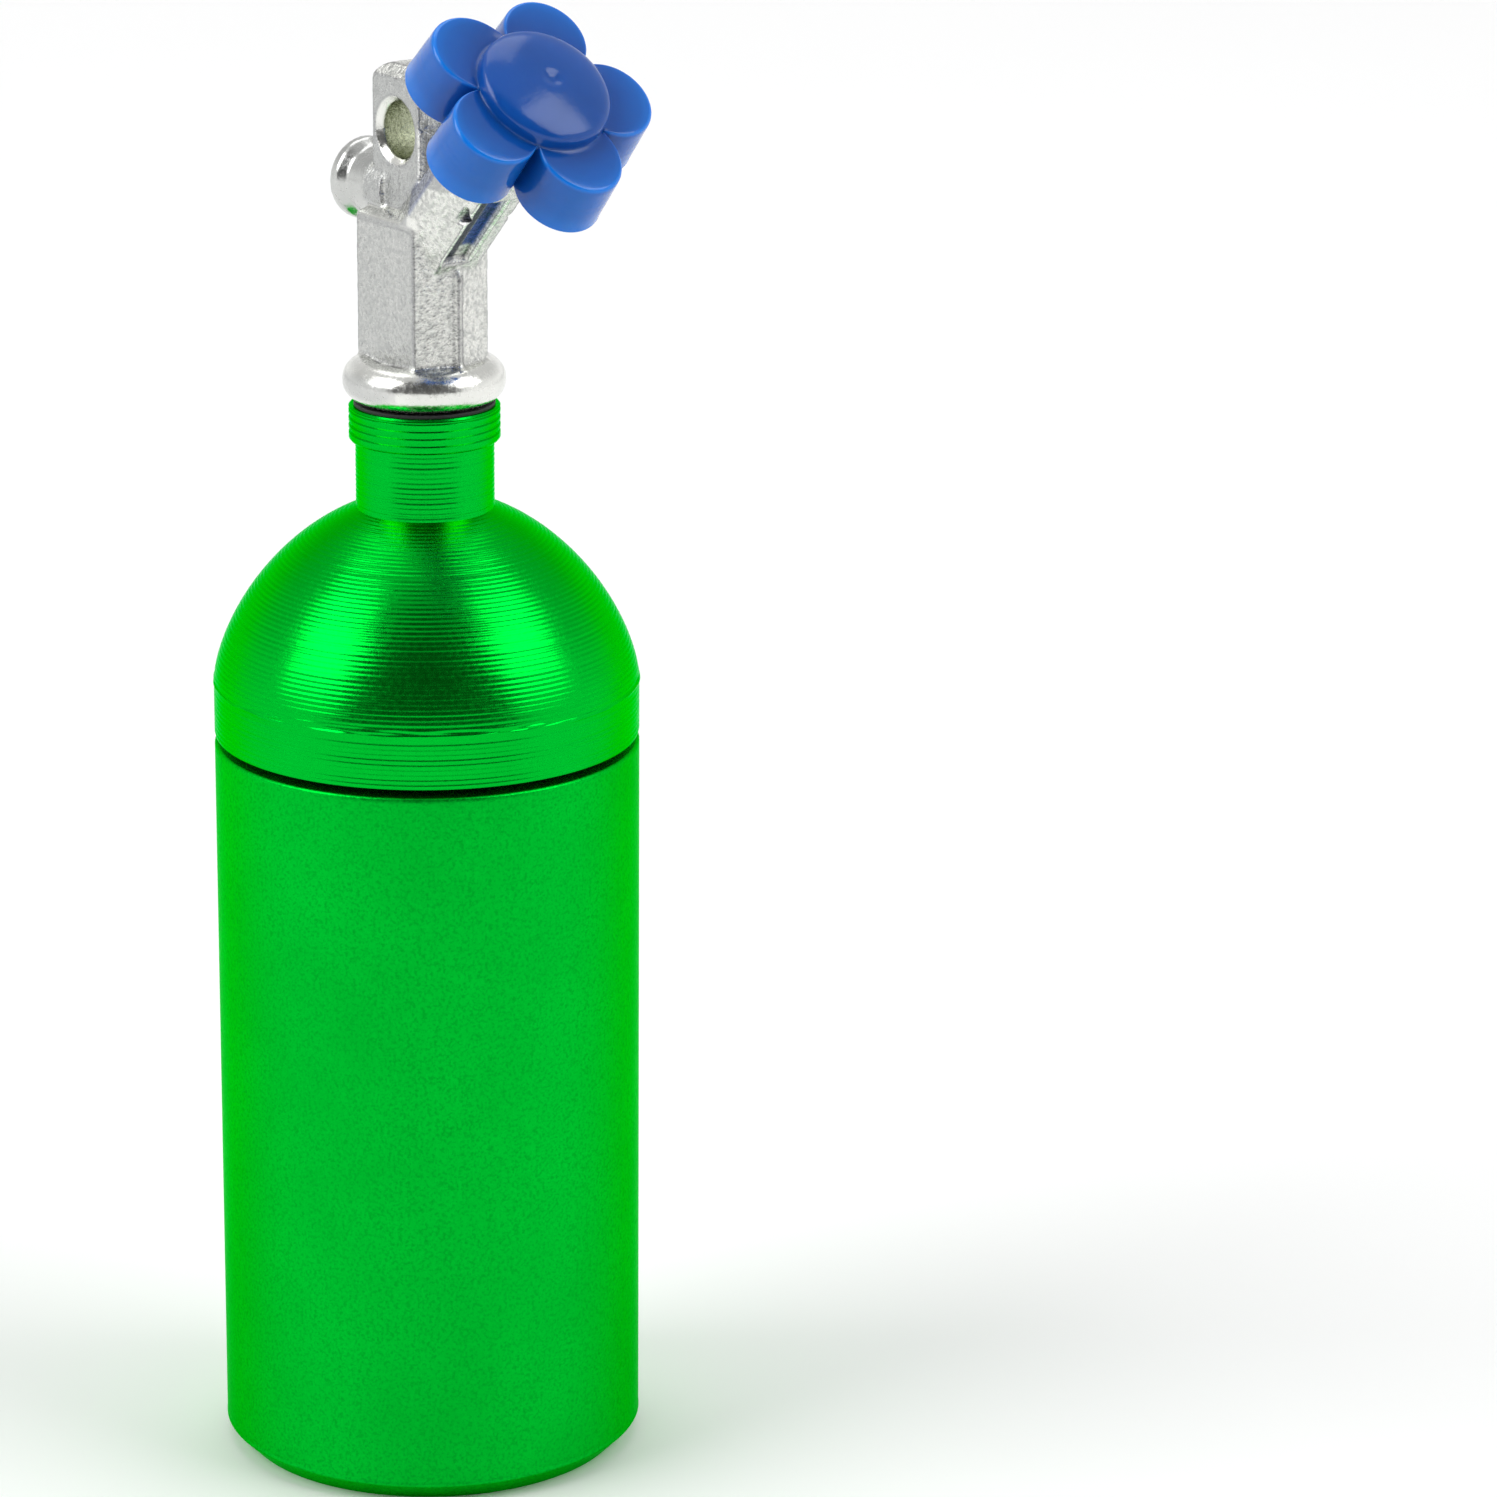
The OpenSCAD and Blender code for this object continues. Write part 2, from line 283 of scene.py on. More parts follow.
def lathe(name, body, profile, closed=False, radial=None):
    """A turned shape from (r, z) pairs in mm: both ends on the axis, or a closed loop."""
    verts = []
    rows = []
    for r, z in profile:
        if r < 1e-6:
            rows.append([len(verts)])
            verts.append((0.0, 0.0, z))
            continue
        row = []
        for k in range(SEGMENTS):
            a = 2 * math.pi * k / SEGMENTS
            rr = r + (radial(r, z, a) if radial else 0.0)
            row.append(len(verts))
            verts.append((rr * math.cos(a), rr * math.sin(a), z))
        rows.append(row)
    faces = []
    pairs = list(zip(rows, rows[1:]))
    if closed:
        pairs.append((rows[-1], rows[0]))
    for lo, hi in pairs:
        for k in range(SEGMENTS):
            n = (k + 1) % SEGMENTS
            if len(lo) == 1:
                faces.append((lo[0], hi[k], hi[n]))
            elif len(hi) == 1:
                faces.append((lo[k], lo[n], hi[0]))
            else:
                faces.append((lo[k], lo[n], hi[n], hi[k]))
    return new_object(name, verts, faces, body)


def ridge_rise(z, a, z0, a0, turns):
    """How far a thread ridge stands up at height z and angle a, from 0 to 1."""
    run = (math.degrees(a) - a0) % 360.0
    best = 0.0
    while run <= turns * 360.0:
        off = abs(z - (z0 + PITCH * run / 360.0))
        rise = min(1.0, max(0.0, (0.4 - off) / 0.25))
        lead = min(run, turns * 360.0 - run)
        best = max(best, rise * min(1.0, lead / 14.0))
        run += 360.0
    return best


def make_bottle():
    """The turned bottle: bevelled foot, blasted side, threaded spigot, bore."""
    rng = np.random.default_rng(11)
    foot = grooved([(BODY_R - FOOT_CHAMFER, 0.0), (BODY_R - 0.04, FOOT_CHAMFER - 0.04)],
                   GROOVE_PITCH, 0.022, rng)
    base = grooved([(0.6, 0.0), (BODY_R - FOOT_CHAMFER, 0.0)], 0.5, 0.02, rng)
    side = [
        (BODY_R + 0.012, FOOT_CHAMFER + 0.04),
        (BODY_R + 0.012, FOOT_CHAMFER + 0.12),
        (BODY_R - 0.015, FOOT_CHAMFER + 0.2),
        (BODY_R, FOOT_CHAMFER + 0.3),
    ]
    side += resample([(BODY_R, 1.4), (BODY_R, SHOULDER_Z - 0.3)], 1.5)
    shoulder = [(BODY_R, SHOULDER_Z - 0.12), (BODY_R - 0.04, SHOULDER_Z - 0.04)]
    shoulder += grooved([(BODY_R - 0.12, SHOULDER_Z), (SPIGOT_R + 0.08, SHOULDER_Z)],
                        GROOVE_PITCH, 0.012, rng)
    spigot = resample([(SPIGOT_R, SHOULDER_Z + 0.02), (SPIGOT_R, SPIGOT_TOP - 0.25)], 0.1)
    rim = [(SPIGOT_R - 0.08, SPIGOT_TOP - 0.06), (SPIGOT_R - 0.25, SPIGOT_TOP),
           (BORE_R + 0.15, SPIGOT_TOP), (BORE_R + 0.03, SPIGOT_TOP - 0.04)]
    bore = grooved([(BORE_R, SPIGOT_TOP - 0.2), (BORE_R, FLOOR_T + 0.9)], 0.9, 0.012, rng)
    bore += [(BORE_R - 0.12, FLOOR_T + 0.3), (BORE_R - 0.5, FLOOR_T + 0.04)]
    floor = grooved([(BORE_R - 0.9, FLOOR_T), (0.5, FLOOR_T)], 0.45, 0.012, rng)
    profile = [(0.0, 0.0)] + base[:-1] + foot + side + shoulder + spigot + rim + bore
    profile += floor + [(0.0, FLOOR_T)]

    def thread(r, z, a):
        if abs(r - SPIGOT_R) > 0.02 or z < SHOULDER_Z + 0.5:
            return 0.0
        return RIDGE_H * ridge_rise(z, a, FIRST_MALE, 0.0, MALE_TURNS)

    return lathe("bottle_turned", "bottle", profile, radial=thread)


def dome_curve():
    """The dome from its foot up to the neck, as (r, z) pairs."""
    top = math.acos(NECK_R / BODY_R)
    high = (NECK_Z - DOME_Z) / math.sin(top) ** DOME_POWER
    curve = []
    for i in range(65):
        a = top * i / 64
        curve.append((BODY_R * math.cos(a), DOME_Z + high * math.sin(a) ** DOME_POWER))
    return curve


def make_cap():
    """The turned cap: band, domed shoulder, neck, ribbed collar, threaded inside."""
    rng = np.random.default_rng(23)
    band = [(BODY_R - 0.12, CAP_Z), (BODY_R - 0.03, CAP_Z + 0.05)]
    band += grooved([(BODY_R, CAP_Z + 0.18), (BODY_R, DOME_Z - 0.12)],
                    GROOVE_PITCH, 0.036, rng)
    band += [(BODY_R + 0.02, DOME_Z - 0.07), (BODY_R + 0.02, DOME_Z + 0.02)]
    dome = grooved(dome_curve()[1:], GROOVE_PITCH, 0.024, rng)
    neck = grooved([(NECK_R, NECK_Z + 0.08), (NECK_R, COLLAR_Z - 0.05)],
                   GROOVE_PITCH, 0.034, rng)
    collar = [(COLLAR_R - 0.08, COLLAR_Z), (COLLAR_R, COLLAR_Z + 0.1)]
    rib_h = (CAP_TOP_Z - 0.12 - COLLAR_Z - 0.14) / COLLAR_RIBS
    for k in range(COLLAR_RIBS):
        z = COLLAR_Z + 0.14 + k * rib_h
        collar += [(COLLAR_R, z + 0.08), (COLLAR_R, z + rib_h - 0.14),
                   (COLLAR_R - 0.07, z + rib_h - 0.08), (COLLAR_R - 0.07, z + rib_h - 0.03)]
    collar += [(COLLAR_R, CAP_TOP_Z - 0.08), (COLLAR_R - 0.08, CAP_TOP_Z), (2.13, CAP_TOP_Z)]
    inside = [(2.05, CAP_TOP_Z - 0.08), (2.05, 47.2), (1.65, 47.2), (1.65, 45.0),
              (3.6, 45.0), (3.6, 44.5), (5.2, 43.6), (7.2, LINER_SEAT + 0.6),
              (7.2, LINER_SEAT), (CAP_BORE_R, LINER_SEAT)]
    inside += resample([(CAP_BORE_R, LINER_SEAT - 0.1), (CAP_BORE_R, CAP_Z + 1.35)], 0.1)
    inside += [(9.15, CAP_Z + 1.05), (9.15, CAP_Z + 0.08), (9.23, CAP_Z)]

    def thread(r, z, a):
        if abs(z - DOME_Z - 0.1) < 0.3 and r > 9.0:
            where = Vector((6 * math.cos(a), 6 * math.sin(a), z * 9.0))
            fade = 1.0 - smooth_band(abs(z - DOME_Z - 0.1), 0.12, 0.3)
            return 0.05 * noise.noise(where) * fade
        if abs(r - CAP_BORE_R) > 0.001 or z > LINER_SEAT - 0.05:
            return 0.0
        return -RIDGE_H * ridge_rise(z, a, FIRST_FEMALE, FEMALE_A0, FEMALE_TURNS)

    profile = band + dome + neck + collar + inside
    return lathe("cap_turned", "cap", profile, closed=True, radial=thread)


def branch_frame():
    """The branch's directions in the shared frame: out along it, and to its upper side."""
    out = Vector((0.0, -math.sin(TILT), math.cos(TILT)))
    up = Vector((0.0, math.cos(TILT), math.sin(TILT)))
    return out, up


def on_branch(p):
    """How far a point is out along the branch, and above its axis."""
    out, up = branch_frame()
    rel = Vector((0.0, p.y, p.z - BRANCH_Z))
    return rel.dot(out), rel.dot(up)


def smooth_band(x, lo, hi):
    """0 below lo, 1 above hi, smooth between."""
    t = min(1.0, max(0.0, (x - lo) / (hi - lo)))
    return t * t * (3 - 2 * t)


def edge_signal(bm):
    """Per vertex: below 0 in creases, above 0 on edges, blurred a little."""
    bend = {}
    for v in bm.verts:
        around = [e.other_vert(v).co for e in v.link_edges]
        mean = sum(around, Vector()) / len(around)
        bend[v.index] = (v.co - mean).dot(v.normal) / GRID
    for _ in range(3):
        bend = {
            v.index: 0.5 * bend[v.index]
            + 0.5 * sum(bend[e.other_vert(v).index] for e in v.link_edges) / len(v.link_edges)
            for v in bm.verts
        }
    return bend


def remeshed_casting():
    """The CAD's valve body as an even fine mesh, in mm."""
    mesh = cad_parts["valve_body"].data.copy()
    mesh.transform(Matrix.Scale(1 / MM, 4))
    obj = bpy.data.objects.new("valve_casting", mesh)
    SCENE.collection.objects.link(obj)
    bm = bmesh.new()
    bm.from_mesh(mesh)
    bmesh.ops.remove_doubles(bm, verts=bm.verts, dist=1e-4)
    bm.to_mesh(mesh)
    bm.free()
    remesh = obj.modifiers.new("grain", "REMESH")
    remesh.mode = "VOXEL"
    remesh.voxel_size = GRID
    remesh.adaptivity = 0.0
    deps = bpy.context.evaluated_depsgraph_get()
    fine = bpy.data.meshes.new_from_object(obj.evaluated_get(deps))
    obj.modifiers.clear()
    obj.data = fine
    return obj


def make_casting():
    """The cast valve head: the CAD solid with cast edges, parting bead and skin."""
    obj = remeshed_casting()
    fine = obj.data
    bm = bmesh.new()
    bm.from_mesh(fine)
    bm.verts.index_update()
    shape_casting(bm)
    bmesh.ops.smooth_vert(bm, verts=bm.verts, factor=SKIN_SMOOTH, use_axis_x=True,
                          use_axis_y=True, use_axis_z=True)
    bm.normal_update()
    layers = casting_layers(bm)
    add_grain(bm)
    for face in bm.faces:
        face.smooth = True
    bm.to_mesh(fine)
    count = len(fine.vertices)
    for label, values in layers.items():
        layer = fine.attributes.new(label, "FLOAT", "POINT")
        layer.data.foreach_set("value", [float(values[i]) for i in range(count)])
    bm.free()
    fine.transform(Matrix.Scale(MM, 4))
    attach(obj, "cap")
    return obj


def casting_layers(bm):
    """Where each look goes: a value per vertex, under the name its material reads."""
    layers = {"edge": edge_signal(bm)}
    for label in ("recess_shade", "polish_and_highlight", "tarnish", "shade", "wheel_reflection"):
        layers[label] = {}
    for v in bm.verts:
        # painted shadow line under the ledge, carried by the edge value
        if under_ledge(v.co):
            layers["edge"][v.index] = LINE_EDGE
        layers["recess_shade"][v.index] = recess_shade_at(v.co)
        layers["polish_and_highlight"][v.index] = polish_and_highlight_at(v.co)
        layers["tarnish"][v.index] = tarnish_at(v.co)
        layers["shade"][v.index] = shaded_at(v.co, v.normal)
        # painted reflection of the wheel: in the recess and on the bevels
        layers["wheel_reflection"][v.index] = max(wheel_reflection_at(v.co), BEVEL_REFLECTION * bevel_at(v.co))
    return layers


def add_grain(bm):
    """The uneven cast skin, calmer where it is polished."""
    for v in bm.verts:
        p = v.co
        rough = 1.0 - POLISH_CALM * polish_and_highlight_at(p)
        grain = 0.0
        for frequency, height in SKIN_GRAIN:
            grain += noise.noise(p * frequency) * height
        v.co = p + v.normal * grain * rough


def polish_and_highlight_at(p):
    """1 on the smooth ring, stub, foot and the eye rim smooth with wear, and on the ledge as
    a painted highlight; 0 on the grainy rest.
    """
    ring = 1.0 - smooth_band(abs(p.z - RING_MID), *RING_FADE)
    if math.hypot(p.x, p.y) < RING_INNER:
        ring = 0.0
    stub = smooth_band(p.y, *STUB_Y) * smooth_band(p.z, *STUB_Z)
    foot = 1.0 if p.z < FOOT_TOP else 0.0
    # painted highlight: the ledge kept bright
    ledge = smooth_band(p.z, *LEDGE_FOOT) * (1.0 - smooth_band(p.z, *LEDGE_TOP))
    ledge *= smooth_band(abs(p.x), *LEDGE_X) * smooth_band(p.y, *LEDGE_Y)
    rim = math.hypot(p.y - EYE[0], p.z - EYE[1]) - EYE_R
    wear_and_highlight = smooth_band(rim, *WORN_IN) * (1.0 - smooth_band(rim, *WORN_OUT))
    wear_and_highlight *= smooth_band(abs(p.x), *WORN_X)
    return max(ring, stub, foot, ledge, wear_and_highlight)


def shaded_at(p, normal):
    """How much darker the plating is painted: a painted dark reflection on the stub, painted
    shade on the left of column and lug.
    """
    if p.y > STUB_Y[0] and p.z > STUB_Z[0]:
        return STUB_DARK_REFLECTION
    side = smooth_band(-normal.x, *LEFT_FACING)
    if p.z > COLUMN_TOP:
        return LUG_SHADE * side * (1.0 - smooth_band(-p.y, *LUG_FRONT) * (p.z < LUG_FRONT_TOP))
    return COLUMN_SHADE * side * (1.0 - smooth_band(-p.y, *COLUMN_FRONT))


def under_ledge(p):
    """True on the thin painted shadow line under the shoulder of the column."""
    return LINE_Z[0] < p.z < LINE_Z[1] and abs(p.x) > LINE_X and -LINE_Y < p.y < LINE_Y


def bevel_at(p):
    """1 on the upper bevels of the branch, between its side and its top flat, where the
    painted reflection of the wheel goes.
    """
    along, across = on_branch(p)
    slope = (BRANCH_HIGH - BEVEL_LOW) / (BRANCH_SIDE - BRANCH_FLAT)
    off = across - BRANCH_HIGH + (abs(p.x) - BRANCH_FLAT) * slope
    face = 1.0 - smooth_band(abs(off), *BEVEL_FACE)
    face *= smooth_band(abs(p.x), *BEVEL_X) * smooth_band(along, *BEVEL_START)
    return face * (1.0 - smooth_band(along, *BEVEL_END))


def recess_shade_at(p):
    """1 where painted shade darkens the left side of the recess under the branch, less on the
    web.
    """
    along, across = on_branch(p)
    under = 1.0 - smooth_band(abs(p.x), *RECESS_SHADE_SIDE)
    under *= 1.0 - smooth_band(p.x, *STRIP_LEFT)
    under *= smooth_band(along, *RECESS_SHADE_START)
    under *= 1.0 - smooth_band(along, *SHADE_AND_REFLECTION_END)
    under *= 1.0 - smooth_band(across, *UNDER_BRANCH)
    return max(under, WEB_SHADE * web_at(p) * (abs(p.x) < WEB_SHADE_HALF))


def wheel_reflection_at(p):
    """1 on the painted blue reflection of the wheel along the middle of the recess under the
    branch.
    """
    along, across = on_branch(p)
    strip = smooth_band(p.x, *STRIP_LEFT) * (1.0 - smooth_band(p.x, *STRIP_RIGHT))
    strip *= smooth_band(along, *STRIP_START)
    strip *= 1.0 - smooth_band(along, *SHADE_AND_REFLECTION_END)
    return strip * (1.0 - smooth_band(across, *UNDER_BRANCH))


def tarnish_at(p):
    """1 on the wall of the eye, where the plating is thin."""
    off = math.hypot(p.y - EYE[0], p.z - EYE[1])
    wall = 1.0 - smooth_band(off, *EYE_WALL)
    return wall * (1.0 - smooth_band(abs(p.x), *EYE_WALL_X))


def web_at(p):
    """1 on the thinner web between the eye lug and the branch."""
    web = smooth_band(-p.y, *WEB_BACK) * smooth_band(p.z, *WEB_FOOT)
    return web * (1.0 - smooth_band(-p.y, *WEB_FRONT))


def shape_casting(bm):
    """Cast-in forms: recess under the branch, parting bead, bevelled lug and eye, web."""
    up = branch_frame()[1]
    for v in bm.verts:
        x, y, z = v.co
        along, across = on_branch(v.co)
        if RECESS[0] < along < RECESS[1] and abs(across + BRANCH_LOW) < NEAR_LOW_FACE:
            deep = RECESS_DEEP * (1.0 - smooth_band(x, *RECESS_RIGHT))
            deep *= smooth_band(x, -RECESS_HALF, RECESS_SLOPE - RECESS_HALF)
            deep *= smooth_band(along, RECESS[0], RECESS[0] + RECESS_END)
            deep *= 1.0 - smooth_band(along, RECESS[1] - RECESS_END, RECESS[1])
            v.co += up * deep
        if BEAD_Z[0] < z < BEAD_Z[1] and y < BEAD_FACE_Y and abs(x) < BEAD_HALF:
            bead = BEAD_H * (1.0 - smooth_band(abs(x), *BEAD_SIDE))
            v.co.y -= bead * (1.0 - smooth_band(z, *BEAD_TOP))
        past = abs(x) - LUG_HALF + z - LUG_TOP + LUG_BEVEL
        if past > 0.0 and z > LUG_TOP - LUG_BEVEL_REACH:
            v.co.x -= math.copysign(past / 2, x)
            v.co.z -= past / 2
        ring = math.hypot(y - EYE[0], z - EYE[1])
        past = abs(x) - LUG_HALF - (ring - EYE_R) + EYE_RIM
        at_eye = -NEAR_EYE < ring - EYE_R < EYE_RIM and abs(x) < LUG_HALF + NEAR_EYE
        if past > 0.0 and at_eye:
            v.co.x -= math.copysign(past / 2, x)
            v.co.y += (y - EYE[0]) / ring * past / 2
            v.co.z += (z - EYE[1]) / ring * past / 2
        if WEB_CORE < abs(x) < LUG_HALF + NEAR_WEB:
            narrow = WEB_DEEP * web_at(v.co) / (LUG_HALF - WEB_CORE)
            v.co.x -= math.copysign((abs(x) - WEB_CORE) * narrow, x)


def lobe_edge(a):
    """Outline radius of the wheel at angle a, with filled valleys between lobes."""
    start = math.radians(WHEEL_SPIN - 90.0)
    step = 2 * math.pi / LOBES
    off = (a - start + step / 2) % step - step / 2
    side = LOBE_AT * math.sin(off)
    lobe = 0.0
    if abs(side) < LOBE_R:
        lobe = LOBE_AT * math.cos(off) + math.sqrt(LOBE_R ** 2 - side ** 2)
    gap = max(0.0, 1.0 - abs(lobe - HUB_R) / VALLEY_SOFT)
    return max(lobe, HUB_R) + 0.25 * VALLEY_SOFT * gap * gap


def wheel_glow_at(v):
    """How strongly painted glow lightens the wheel at a point of its own frame, 0 to 1: more
    where it is thin and translucent.
    """
    r = math.hypot(v[0], v[1])
    edge = lobe_edge(math.atan2(v[1], v[0]))
    out = smooth_band(r, HUB_R + 0.1, LOBE_AT + LOBE_R)
    lip = smooth_band(r, edge - 0.42, edge - 0.24)
    lip *= smooth_band(v[2], LOBE_H - 0.22, LOBE_H - 0.05)
    low = 1.0 - smooth_band(v[2], 0.1, 1.2)
    if r < HUB_R + 0.05:
        return 0.0
    return min(1.0, GLOW_LOBE * out + GLOW_LIP * lip + GLOW_FOOT * low * out)


def wheel_rows():
    """The wheel from its top centre to its socket: rows of (radius at an angle, height)."""
    rng = np.random.default_rng(5)
    peak = LOBE_H + HUB_STEP + HUB_DOME
    rows = [(lambda a, r=r: r, peak - GATE_SINK - dz) for r, dz in GATE_MARK]
    for i in range(1, HUB_ROWS + 1):
        turn = i / HUB_ROWS * math.pi / 2
        r = HUB_ROUND * math.sin(turn)
        if r * HUB_R > GATE_R + 0.1:
            rows.append((lambda a, r=r: HUB_R * r * HUB_ROUND,
                         LOBE_H + HUB_STEP + HUB_DOME * math.cos(turn)))
    for r, z in HUB_SIDE:
        rows.append((lambda a, r=r: HUB_R * r - 0.03, LOBE_H - 0.06 + z))
    rows.append((lambda a: HUB_R - 0.02, LOBE_H - DISH_DEEP))

    def top_r(a):
        return max(HUB_R - 0.015, lobe_edge(a) - DRAFT - TOP_EDGE)

    for t in DISH_ROWS:
        rows.append((lambda a, t=t: HUB_R - DISH_IN + (top_r(a) - HUB_R + DISH_IN) * t,
                     LOBE_H - DISH_DEEP * (1 - t) * (1 - t)))
    for i in range(1, TOP_EDGE_ROWS + 1):
        turn = i / TOP_EDGE_ROWS * math.pi / 2
        inset = 1 - math.sin(turn)
        rows.append((
            lambda a, d=inset: max(HUB_R - 0.012, lobe_edge(a) - DRAFT - TOP_EDGE * d),
            LOBE_H - TOP_EDGE * (1 - math.cos(turn)),
        ))
    low = LOBE_H - TOP_EDGE
    for i in range(1, WALL_ROWS + 1):
        t = i / WALL_ROWS
        ripple = WALL_RIPPLE * (rng.random() - 0.5)
        rows.append((lambda a, t=t, p=ripple: lobe_edge(a) - DRAFT * (1 - t) + p,
                     low + (WALL_FOOT - low) * t))
    rows += [(lambda a, past=past: lobe_edge(a) + past, z) for past, z in RIM_ROWS]
    rows += [(lambda a, r=r: r, z) for r, z in UNDER_ROWS]
    return rows


def make_wheel():
    """The moulded handwheel: drafted lobes, rounded rim, step, dome, gate mark."""
    verts = [(0.0, 0.0, LOBE_H + HUB_STEP + HUB_DOME - 0.1)]
    rows = []
    for radius_at, z in wheel_rows():
        rows.append(range(len(verts), len(verts) + WHEEL_STEPS))
        for k in range(WHEEL_STEPS):
            a = 2 * math.pi * k / WHEEL_STEPS
            r = radius_at(a)
            verts.append((r * math.cos(a), r * math.sin(a), z))
    centre_low = len(verts)
    verts.append((0.0, 0.0, SOCKET_TOP))
    faces = []
    for k in range(WHEEL_STEPS):
        n = (k + 1) % WHEEL_STEPS
        faces.append((0, rows[0][k], rows[0][n]))
        faces.append((centre_low, rows[-1][n], rows[-1][k]))
    for hi, lo in zip(rows, rows[1:]):
        for k in range(WHEEL_STEPS):
            n = (k + 1) % WHEEL_STEPS
            faces.append((hi[k], lo[k], lo[n], hi[n]))
    turned = Matrix.Translation((0, 0, BRANCH_Z)) @ Matrix.Rotation(TILT, 4, "X")
    turned = turned @ Matrix.Translation((0, 0, WHEEL_S))
    turned_verts = [tuple(turned @ Vector(v)) for v in verts]
    wheel = new_object("wheel_moulded", turned_verts, faces, "knob", smooth_angle=50.0)
    # painted glow where the wheel is thin, per vertex
    layer = wheel.data.attributes.new("thin", "FLOAT", "POINT")
    layer.data.foreach_set("value", [wheel_glow_at(v) for v in verts])
    return wheel


# ---------------------------------------------------------------- materials

class Shader:
    """A node material: textures read object coordinates, the result feeds its BSDF."""

    def __init__(self, name):
        self.mat = bpy.data.materials.new(name)
        self.mat.use_nodes = True
        self.tree = self.mat.node_tree
        self.bsdf = self.tree.nodes["Principled BSDF"]
        coord = self.tree.nodes.new("ShaderNodeTexCoord")
        self.place = coord.outputs["Object"]

    def node(self, kind, **values):
        made = self.tree.nodes.new(kind)
        for key, value in values.items():
            if hasattr(made, key):
                setattr(made, key, value)
            else:
                made.inputs[key.replace("_", " ")].default_value = value
        return made

    def link(self, a, b):
        self.tree.links.new(a, b)

    def stretched(self, scale):
        mapping = self.node("ShaderNodeMapping")
        mapping.inputs["Scale"].default_value = scale
        self.link(self.place, mapping.inputs["Vector"])
        return mapping.outputs["Vector"]

    def noise(self, scale, detail=3.0, rough=0.55, where=None):
        made = self.node("ShaderNodeTexNoise", Scale=scale, Detail=detail, Roughness=rough)
        self.link(where or self.place, made.inputs["Vector"])
        return made.outputs["Fac"]

    def ranged(self, fac, lo, hi, low_in=0.3, high_in=0.7):
        made = self.node("ShaderNodeMapRange")
        made.inputs["From Min"].default_value = low_in
        made.inputs["From Max"].default_value = high_in
        made.inputs["To Min"].default_value = lo
        made.inputs["To Max"].default_value = hi
        self.link(fac, made.inputs["Value"])
        return made.outputs["Result"]

    def mixed(self, fac, a, b):
        made = self.node("ShaderNodeMix", data_type="RGBA")
        self.link(fac, made.inputs["Factor"])
        for socket, value in ((made.inputs[6], a), (made.inputs[7], b)):
            if isinstance(value, tuple):
                socket.default_value = (*value, 1.0)
            else:
                self.link(value, socket)
        return made.outputs[2]

    def bump(self, height, distance, strength=1.0, over=None):
        made = self.node("ShaderNodeBump")
        made.inputs["Strength"].default_value = strength
        made.inputs["Distance"].default_value = distance
        self.link(height, made.inputs["Height"])
        if over is not None:
            self.link(over, made.inputs["Normal"])
        return made.outputs["Normal"]

    def finish(self, color, rough, normal, metallic=0.0):
        self.link(color, self.bsdf.inputs["Base Color"])
        self.link(rough, self.bsdf.inputs["Roughness"])
        self.link(normal, self.bsdf.inputs["Normal"])
        self.bsdf.inputs["Metallic"].default_value = metallic
        return self.mat


def anodised(name, rough_lo, rough_hi, blast, rings, base, deep):
    """Dyed anodised aluminium with blast grain and faint turning rings."""
    s = Shader(name)
    s.bsdf.inputs["Specular Tint"].default_value = (0.0, 1.0, 0.24, 1.0)
    grain = s.noise(5200.0, 2.0)
    patch = s.noise(160.0, 4.0)
    turned = s.noise(1.0, 2.0, 0.6, where=s.stretched((60.0, 60.0, 5200.0)))
    speck = s.noise(6500.0, 2.0, 0.6)
    color = s.mixed(s.ranged(patch, 0.0, 1.0), base, deep)
    darker = tuple(0.80 * c for c in deep)
    color = s.mixed(s.ranged(speck, blast, 0.0, 0.36, 0.52), color, darker)
    rough = s.ranged(grain, rough_lo, rough_hi)
    fine = s.bump(grain, 0.00002, blast)
    normal = s.bump(turned, 0.00001, rings, over=fine)
    return s.finish(color, rough, normal, 1.0)


